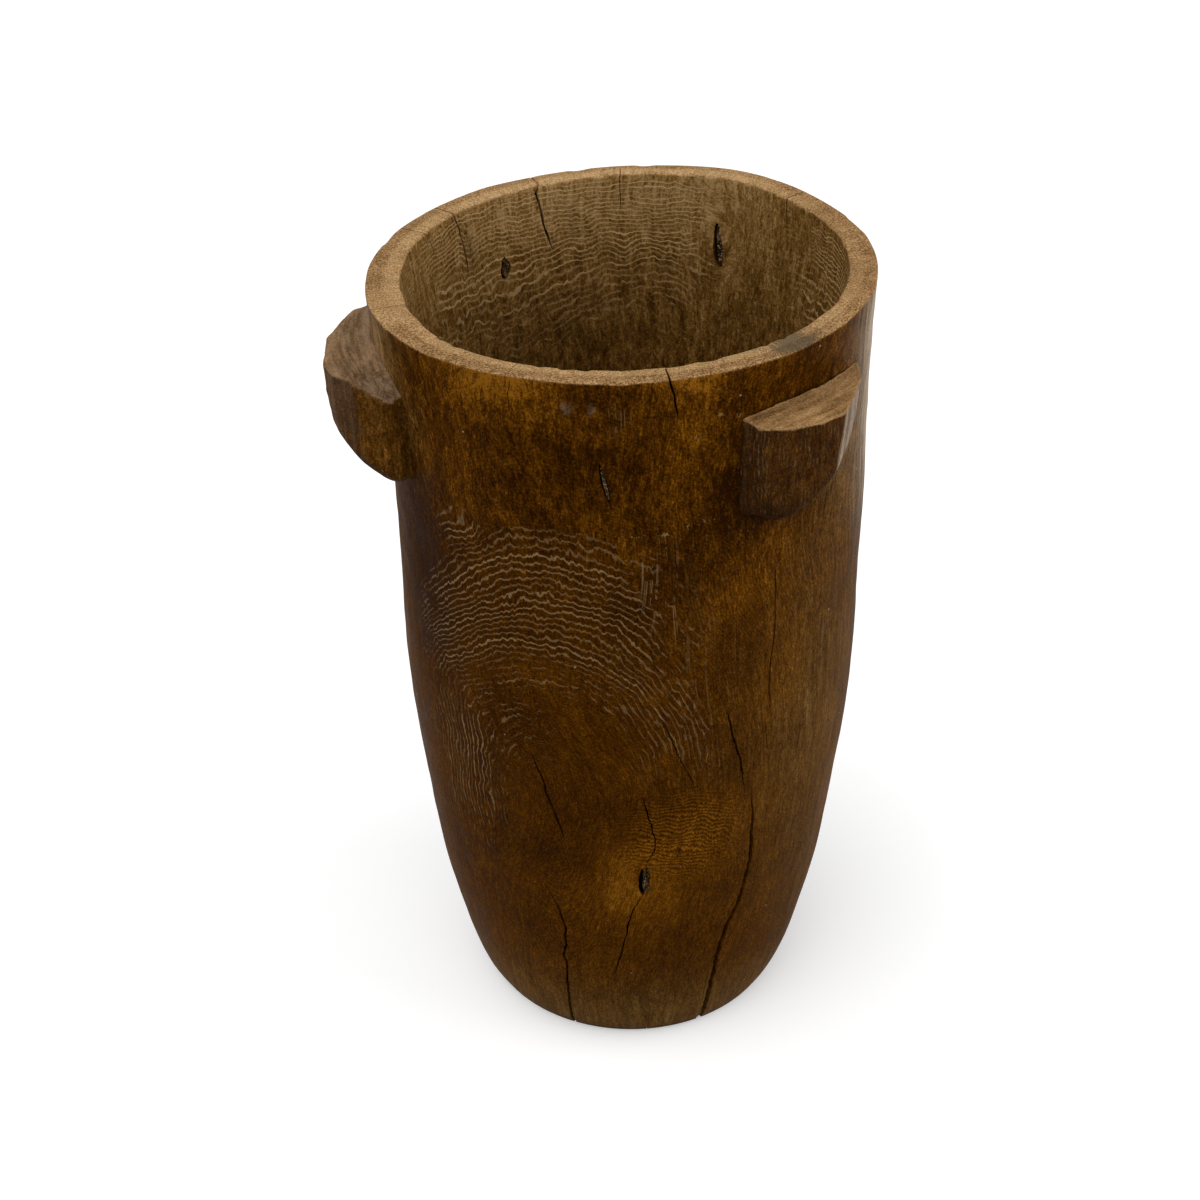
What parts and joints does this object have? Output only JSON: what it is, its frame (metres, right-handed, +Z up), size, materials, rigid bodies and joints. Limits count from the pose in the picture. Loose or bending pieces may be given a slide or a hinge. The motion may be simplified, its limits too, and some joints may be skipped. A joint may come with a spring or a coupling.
{
  "type": "carved milk pail",
  "caption": "Tall round wooden milk pail carved from one log, with a flared open mouth, a slanted worn rim, a solid foot and blocky grip lugs below the rim.",
  "frame": {"origin": "centre of the flat underside that the pail stands on", "axes": "+Z up along the pail's axis, -Y towards the front between the lugs, where the picture was taken from, +X to the right"},
  "size_m": [0.2694, 0.2488, 0.4334],
  "materials": {
    "body_wood": "dark handled hardwood, satin with wear and drying cracks",
    "lug_wood": "dark hardwood, polished on top by hands and knees",
    "knot_wood": "dead knot wood, matt and nearly black"
  },
  "bodies": {
    "root": {"pail_wall": "body_wood", "pail_base": "body_wood", "left_lug": "lug_wood", "right_lug": "lug_wood", "front_knot": "knot_wood", "upper_knot": "knot_wood", "inner_left_knot": "knot_wood", "inner_right_knot": "knot_wood"}
  },
  "joints": []
}
